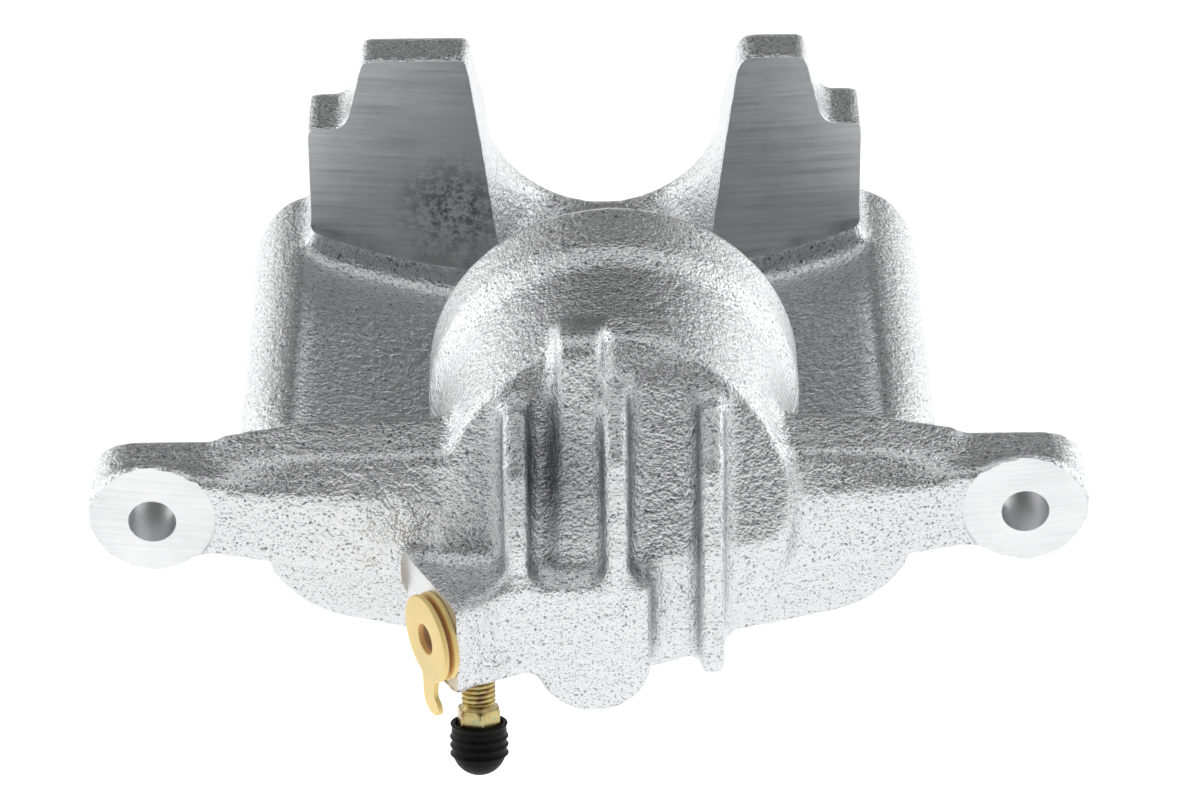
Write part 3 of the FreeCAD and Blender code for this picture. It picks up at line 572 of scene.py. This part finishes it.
def milled_zinc():
    """Zinc over milled faces: arcs about the disc's axis, faint stains, and a patch of dark flecks low on the left
    finger.
    """
    n = Finish("plated_milled_face", Metallic=1.0)
    split = n.add("ShaderNodeSeparateXYZ", {"Vector": n.place})
    drop = n.math("SUBTRACT", DISC_AXIS_HEIGHT, split.outputs["Z"])
    across = n.math("MULTIPLY", split.outputs["X"], 0.4)
    square = n.math("ADD", n.math("MULTIPLY", drop, drop), n.math("MULTIPLY", across, across))
    radius = n.math("SQRT", square)
    angle = n.math("ARCTAN2", split.outputs["X"], drop)
    track = n.add("ShaderNodeCombineXYZ", {
        "X": n.math("MULTIPLY", radius, 1300.0),
        "Y": n.math("MULTIPLY", angle, 7.0),
        "Z": n.math("MULTIPLY", split.outputs["Y"], 60.0),
    })
    marks = n.noise(1.0, 3.0, 0.6, place=track.outputs["Vector"])
    stains = n.noise(42, 4.0, 0.65)
    shade = n.ramp(n.math("ADD", n.math("MULTIPLY", marks, 0.5), n.math("MULTIPLY", stains, 0.5)),
                   (0.30, (0.62, 0.625, 0.63)), (0.5, (0.78, 0.785, 0.79)), (0.7, (0.90, 0.90, 0.91)))
    # a patch of dark flecks in the base colour, low on the left finger's face
    dark_patch = n.near((-29 * MM, finger_face, -11 * MM), 3 * MM, 16 * MM)
    flecks = n.math("MULTIPLY", dark_patch, n.between(n.noise(620, 3.0, 0.7), 0.0, 0.85, 0.42, 0.60))
    shade = n.mix(flecks, shade, DARK_PATCH_AND_PAINTED_SHADE)
    rough = n.between(marks, 0.34, 0.48, 0.3, 0.7)
    return n.use(Base_Color=shade, Roughness=rough, Normal=n.bump(marks, 0.03 * MM))


def black_rubber(name):
    n = Finish(name, Roughness=0.5, Specular_IOR_Level=0.12)
    dust = n.noise(260, 4.0, 0.6)
    shade = n.ramp(dust, (0.35, (0.002, 0.002, 0.002)), (0.75, (0.008, 0.0075, 0.007)))
    return n.use(Base_Color=shade, Normal=n.bump(n.noise(1800, 2.0), 0.04 * MM),
                 Roughness=n.between(dust, 0.40, 0.58))


def ground_steel():
    n = Finish("ground_piston_steel", Metallic=1.0)
    lines = n.noise(1.0, 2.0, 0.5, place=n.stretched((900, 5200, 900)))
    haze = n.noise(60, 3.0, 0.6)
    shade = n.ramp(haze, (0.3, (0.50, 0.50, 0.51)), (0.8, (0.72, 0.72, 0.73)))
    rough = n.between(lines, 0.16, 0.34)
    return n.use(Base_Color=shade, Roughness=rough, Normal=n.bump(lines, 0.01 * MM))


def spring_wire():
    n = Finish("spring_wire", Metallic=1.0)
    drawn = n.noise(1400, 2.0, 0.6)
    shade = n.ramp(drawn, (0.3, (0.36, 0.35, 0.34)), (0.8, (0.66, 0.65, 0.63)))
    return n.use(Base_Color=shade, Roughness=n.between(drawn, 0.22, 0.4), Normal=n.bump(drawn, 0.02 * MM))


def yellow_zinc():
    """Yellow passivated steel, with the pink and green blush of its chromate film."""
    n = Finish("yellow_passivated_steel", Metallic=1.0)
    blush = n.noise(520, 2.0, 0.5)
    speck = n.noise(2600, 2.0, 0.6)
    shade = n.ramp(blush, (0.30, (0.34, 0.20, 0.16)), (0.45, (0.50, 0.39, 0.17)),
                   (0.58, (0.60, 0.49, 0.23)), (0.72, (0.44, 0.46, 0.25)))
    rough = n.between(speck, 0.20, 0.42)
    return n.use(Base_Color=shade, Roughness=rough, Normal=n.bump(speck, 0.03 * MM))


def beige_plastic():
    """Soft translucent moulding, its beige turned brown by painted shade in the groove between its flanges and in
    its recess.
    """
    n = Finish("beige_plastic", Roughness=0.42, Subsurface_Weight=0.12, Subsurface_Scale=0.0012,
              Specular_IOR_Level=0.4)
    n.shader.inputs["Subsurface Radius"].default_value = (1.0, 0.5, 0.2)
    local = n.vector("SUBTRACT", n.place, tuple(port_place)).outputs["Vector"]
    along = n.vector("DOT_PRODUCT", local, tuple(port_axis)).outputs["Value"]
    across = n.vector("CROSS_PRODUCT", local, tuple(port_axis)).outputs["Vector"]
    radius = n.vector("LENGTH", across).outputs["Value"]
    # painted shade: the groove between the flanges and the recess are browned in the base colour, where shade
    # falls
    past_start = n.between(along, 0.0, 1.0, PLUG_GROOVE_START - 0.2 * MM, PLUG_GROOVE_START + 0.1 * MM)
    before_end = n.between(along, 1.0, 0.0, PLUG_GROOVE_END - 0.2 * MM, PLUG_GROOVE_END + 0.1 * MM)
    groove = n.math("MULTIPLY", past_start, before_end)
    groove = n.math("MULTIPLY", groove, n.between(radius, 1.0, 0.0, 7.6 * MM, 8.6 * MM))
    recess = n.between(radius, 1.0, 0.0, 2.4 * MM, 3.4 * MM)
    depth = n.math("MAXIMUM", groove, recess)
    mottled_painted_shade = n.math("MULTIPLY", depth, n.between(n.noise(700, 3.0), 0.75, 1.1))
    # the ramp runs from the plastic's own beige to the brown of the painted shade
    film = n.ramp(mottled_painted_shade, (0.0, (0.95, 0.72, 0.28)), (0.35, (0.80, 0.46, 0.20)),
                  (0.9, (0.42, 0.26, 0.22)))
    shade = n.mix(n.between(n.noise(90, 2.0), 0.0, 0.25), film, (0.98, 0.80, 0.40))
    return n.use(Base_Color=shade, Normal=n.bump(n.noise(900, 2.0), 0.02 * MM))


# ---------------------------------------------------------------- smaller pieces

def make_boot(rubber):
    """Bellows of the dust boot: a bead in the housing, one fold, and a lip on the piston."""
    outer = SEAT_RADIUS - 0.3 * MM
    lip = PISTON_RADIUS + 0.15 * MM
    fold = (lip + outer) / 2
    profile = rounded([
        (outer, SEAT + 0.1 * MM), (outer, SEAT + 2.6 * MM), (outer - 1.6 * MM, SEAT + 2.8 * MM),
        (fold + 0.2 * MM, SEAT + 4.6 * MM), (lip + 1.2 * MM, SEAT + 5.4 * MM), (lip, SEAT + 5.3 * MM),
        (lip, SEAT + 3.6 * MM), (lip + 0.9 * MM, SEAT + 3.5 * MM), (lip + 1.4 * MM, SEAT + 1.2 * MM),
        (fold + 0.6 * MM, SEAT + 2.6 * MM), (outer - 1.5 * MM, SEAT + 1.0 * MM),
        (outer - 1.4 * MM, SEAT + 0.1 * MM), (outer, SEAT + 0.1 * MM),
    ], 0.8 * MM)
    points, faces = lathe(profile, 144)
    uncapped = faces[:-2]
    mesh = mesh_of("boot_bellows", [(points, uncapped)], barrel_frame())
    bm = bmesh.new()
    bm.from_mesh(mesh)
    bmesh.ops.remove_doubles(bm, verts=bm.verts, dist=0.001 * MM)
    bmesh.ops.recalc_face_normals(bm, faces=bm.faces)
    bm.to_mesh(mesh)
    bm.free()
    mesh.shade_smooth()
    mesh.materials.append(rubber)
    boot = link("boot_bellows", mesh)
    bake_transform(boot)
    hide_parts("dust_boot")


def make_bleeder(zinc):
    """Bleed screw with a true helical thread, a chamfered hexagon and a barbed nipple."""
    pitch = 1.0 * MM
    crest = 3.45 * MM
    root = 2.85 * MM
    steepness = 1.9
    rows_per_turn = 12
    flats = 8.0 * MM
    sector = math.radians(60)
    hexagon_turn = math.radians(50)
    first = 0.9 * MM - BLEED_HOLE_DEPTH
    last = HEX_START - 0.4 * MM
    rows = int((last - first) / pitch * rows_per_turn)

    def thread(row, angle):
        height = first + (last - first) * row / (rows - 1)
        phase = (height / pitch - angle / (2 * math.pi)) % 1.0
        ridge = min(1.0, steepness * abs(2 * phase - 1))
        fade = min(1.0, (last - height) / (0.8 * MM), (height - first) / MM)
        return root + (crest - root) * ridge * max(fade, 0.0), height

    hexagon_outline = [
        (3.4, 0.1), (4.2, 0.0), (4.66, 0.45), (4.66, 2.0), (4.66, 3.95), (4.2, 4.4), (2.6, 4.4),
    ]

    def hexagon(row, angle):
        limit, rise = hexagon_outline[row]
        turned = (angle - hexagon_turn) % sector
        radius = min(flats / 2 / math.cos(turned - sector / 2), limit * MM)
        return radius, HEX_START + rise * MM

    nipple_outline = [(0.02, 3.8), (2.6, 3.8), (2.6, 8.5), (3.1, 8.7), (2.3, 10.8), (0.02, 10.8)]
    nipple = rounded([(radius * MM, HEX_START + rise * MM) for radius, rise in nipple_outline], 0.15 * MM)
    collar_outline = [(0.02, -0.8), (2.9, -0.8), (3.9, 0.05), (0.02, 0.1)]
    collar = [(radius * MM, HEX_START + rise * MM) for radius, rise in collar_outline]
    shells = [
        tube_grid(rows, 72, thread),
        tube_grid(len(hexagon_outline), 120, hexagon),
        lathe(nipple, 72),
        lathe(collar, 72),
    ]
    mesh = mesh_of("bleed_screw", shells, axis_frame(bleed_place, bleed_axis), sharp=28)
    mesh.materials.append(zinc)
    screw = link("bleed_screw", mesh, "bleeder_screw")
    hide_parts("bleeder_screw")


def make_cap(rubber):
    """Rubber cap with a flared lip, three thin ridges and a round end."""
    mouth = HEX_START + 3.1 * MM
    inner_floor = mouth + 1.4 * MM
    radius = 5.5 * MM
    ridge_radius = radius + 0.42 * MM
    end = mouth + 11.2 * MM
    outline = [
        (NEAR_AXIS, inner_floor), (4.75 * MM, inner_floor), (4.8 * MM, mouth + 0.15 * MM),
        (radius, mouth), (5.85 * MM, mouth + 0.25 * MM), (radius, mouth + 0.9 * MM),
        (radius + 0.1 * MM, mouth + 1.9 * MM),
    ]
    for rise in (3.0, 4.8, 6.6):
        ridge = mouth + rise * MM
        outline += [
            (radius, ridge - 0.6 * MM), (ridge_radius, ridge - 0.05 * MM),
            (ridge_radius, ridge + 0.1 * MM), (radius, ridge + 0.2 * MM),
        ]
    tilts = [math.radians(degrees) for degrees in range(4, 90, 6)]
    dome = [(radius * math.cos(tilt), end - radius + radius * math.sin(tilt)) for tilt in tilts]
    profile = rounded(outline, 0.22 * MM) + dome + [(NEAR_AXIS, end)]
    mesh = mesh_of("bleed_cap", [lathe(profile)], axis_frame(bleed_place, bleed_axis), sharp=60)
    mesh.materials.append(rubber)
    cap = link("bleed_cap", mesh, "bleeder_cap")
    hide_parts("bleeder_cap")


def curve_through(corners, steps=6):
    """Closed smooth line through the middles of an outline's sides."""
    points = []
    count = len(corners)
    for index in range(count):
        before, corner, after = (Vector(corners[(index + turn) % count]) for turn in (-1, 0, 1))
        start = (before + corner) / 2
        end = (corner + after) / 2
        for step in range(steps):
            along = step / steps
            points.append(start * (1 - along) ** 2 + corner * 2 * along * (1 - along) + end * along ** 2)
    return points


def make_plug(plastic):
    """Transport plug: two thin flanges on a hollow core, and a pull tab with a hooked end."""
    gap = 0.06 * MM  # between the port's face and the rear flange
    front = 3.4 * MM
    recess_end = front - PLUG_RECESS
    flange = 9.1 * MM
    shank = 4.4 * MM
    core = 6.6 * MM
    body = lathe(rounded([
        (NEAR_AXIS, -PLUG_SHANK), (3.7 * MM, -PLUG_SHANK), (shank, 0.8 * MM - PLUG_SHANK),
        (shank, gap), (flange, gap), (flange, PLUG_GROOVE_START), (core, PLUG_GROOVE_START),
        (core, PLUG_GROOVE_END), (flange, PLUG_GROOVE_END), (flange, front), (3.2 * MM, front),
        (2.8 * MM, recess_end), (NEAR_AXIS, recess_end),
    ], 0.28 * MM), 128)

    tab = curve_through([
        (5.0, 6.2), (7.4, 4.4), (9.6, 3.5), (12.2, 3.3), (13.0, 4.8), (14.6, 5.6), (16.2, 4.4),
        (16.8, 1.8), (15.8, -0.8), (13.4, -1.5), (9.8, -1.5), (7.4, -2.8), (5.6, -5.6), (4.6, -5.0),
        (4.2, 0.0), (4.6, 4.8),
    ])
    count = len(tab)
    skin = 0.03 * MM  # keeps the tab's faces just inside the front flange's
    levels = (PLUG_GROOVE_END + skin, front - skin)
    points = [(x * MM, y * MM, z) for z in levels for x, y in tab]
    faces = [(i, (i + 1) % count, (i + 1) % count + count, i + count) for i in range(count)]
    faces += [tuple(reversed(range(count))), tuple(range(count, 2 * count))]
    place = axis_frame(port_place, port_axis, facing=(0, 0, -1))
    mesh = mesh_of("port_plug", [body, (points, faces)], place, sharp=40)
    mesh.materials.append(plastic)
    plug = link("port_plug", mesh, "inlet_plug")
    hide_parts("inlet_plug")


# ---------------------------------------------------------------- studio

def aim(thing, target, roll=0.0):
    """Point an object's -Z axis at a target, with X level, then roll it about its line of sight."""
    sight = (Vector(target) - thing.location).to_track_quat("-Z", "Y")
    thing.rotation_euler = (sight.to_matrix() @ Matrix.Rotation(roll, 3, "Z")).to_euler()


def add_camera():
    """Long-lens camera above and in front of the guide ears' faces."""
    elevation = math.radians(33.5)
    distance = 1.089
    target_right = 2.5 * MM
    target_up = 23.4 * MM
    roll = math.radians(-0.6)
    sight = Vector((0, math.cos(elevation), -math.sin(elevation)))
    up = Vector((0, math.sin(elevation), math.cos(elevation)))
    data = bpy.data.cameras.new("camera")
    data.lens = 163.0
    data.sensor_width = 36.0
    data.clip_start = 0.05
    camera = link("camera", data)
    camera.location = -distance * sight
    aim(camera, Vector((target_right, 0, 0)) + target_up * up, roll)
    bpy.context.scene.camera = camera


def add_floor():
    """White sheet that is pale enough by itself to match the background."""
    side = 4.0
    height = cad_bounds[0][2] - CAP_ROOM
    corners = [(-side, -side, height), (side, -side, height), (side, side, height), (-side, side, height)]
    mesh = bpy.data.meshes.new("floor")
    mesh.from_pydata(corners, [], [(0, 1, 2, 3)])
    n = Finish("white_sweep", Roughness=0.9, Specular_IOR_Level=0.1, Emission_Strength=0.66)
    n.shader.inputs["Emission Color"].default_value = (1, 1, 1, 1)
    tone = n.ramp(n.noise(6, 2.0), (0.0, (0.93, 0.93, 0.93)), (1.0, (0.95, 0.95, 0.95)))
    mesh.materials.append(n.use(Base_Color=tone))
    link("floor", mesh)


def add_softbox(name, place, size, power, target=(0, 0.07, 0)):
    """Rectangular lamp that faces a target, by default the middle of the object."""
    light = bpy.data.lights.new(name, "AREA")
    light.shape = "RECTANGLE"
    light.size, light.size_y = size
    light.energy = power
    lamp = link(name, light)
    lamp.location = place
    aim(lamp, target)


def light_room(tree):
    """World that is darkest in front, dim behind, brighter at both sides and pale along the horizon."""
    n = Nodes(tree, "Generated")
    split = n.add("ShaderNodeSeparateXYZ", {"Vector": n.place})
    depth = n.between(split.outputs["Y"], 0.0, 1.0, -0.7, 0.9)
    shades = ((0.0, 0.010), (0.32, 0.02), (0.60, 0.13), (1.0, 0.15))
    room = n.ramp(depth, *((position, (shade,) * 3) for position, shade in shades))
    sides = n.between(n.math("ABSOLUTE", split.outputs["X"]), 0.0, 0.60, 0.30, 0.85)
    horizon = n.between(split.outputs["Z"], 0.80, 0.0, 0.04, 0.12)
    total = n.math("MAXIMUM", n.math("ADD", room, sides), horizon)
    tree.links.new(total, tree.nodes["Background"].inputs["Color"])


def add_studio():
    """Soft boxes overhead and at both sides of a white table, in a dim room."""
    world = bpy.data.worlds.new("studio")
    world.use_nodes = True
    light_room(world.node_tree)
    bpy.context.scene.world = world
    add_softbox("overhead", place=(0, 0.0, 1.3), size=(1.6, 0.7), power=5.0)
    for name, side in (("left", -1), ("right", 1)):
        add_softbox(name, place=(1.2 * side, 0.6, 0.40), size=(1.2, 0.8), power=5.0)
    bpy.context.scene.view_settings.view_transform = "Standard"


def dress_nodes(rubber):
    """Materials for the CAD nodes that stay as they are."""
    finishes = {"piston": ground_steel(), "piston_seal": rubber, "boot_retaining_ring": spring_wire()}
    for name, material in finishes.items():
        mesh = nodes[name].data
        mesh.materials.clear()
        mesh.materials.append(material)


# ---------------------------------------------------------------- build

add_camera()
add_floor()
add_studio()
rubber = black_rubber("black_rubber")
make_casting(cast_zinc(), milled_zinc())
make_boot(rubber)
make_bleeder(yellow_zinc())
make_cap(rubber)
make_plug(beige_plastic())
dress_nodes(rubber)
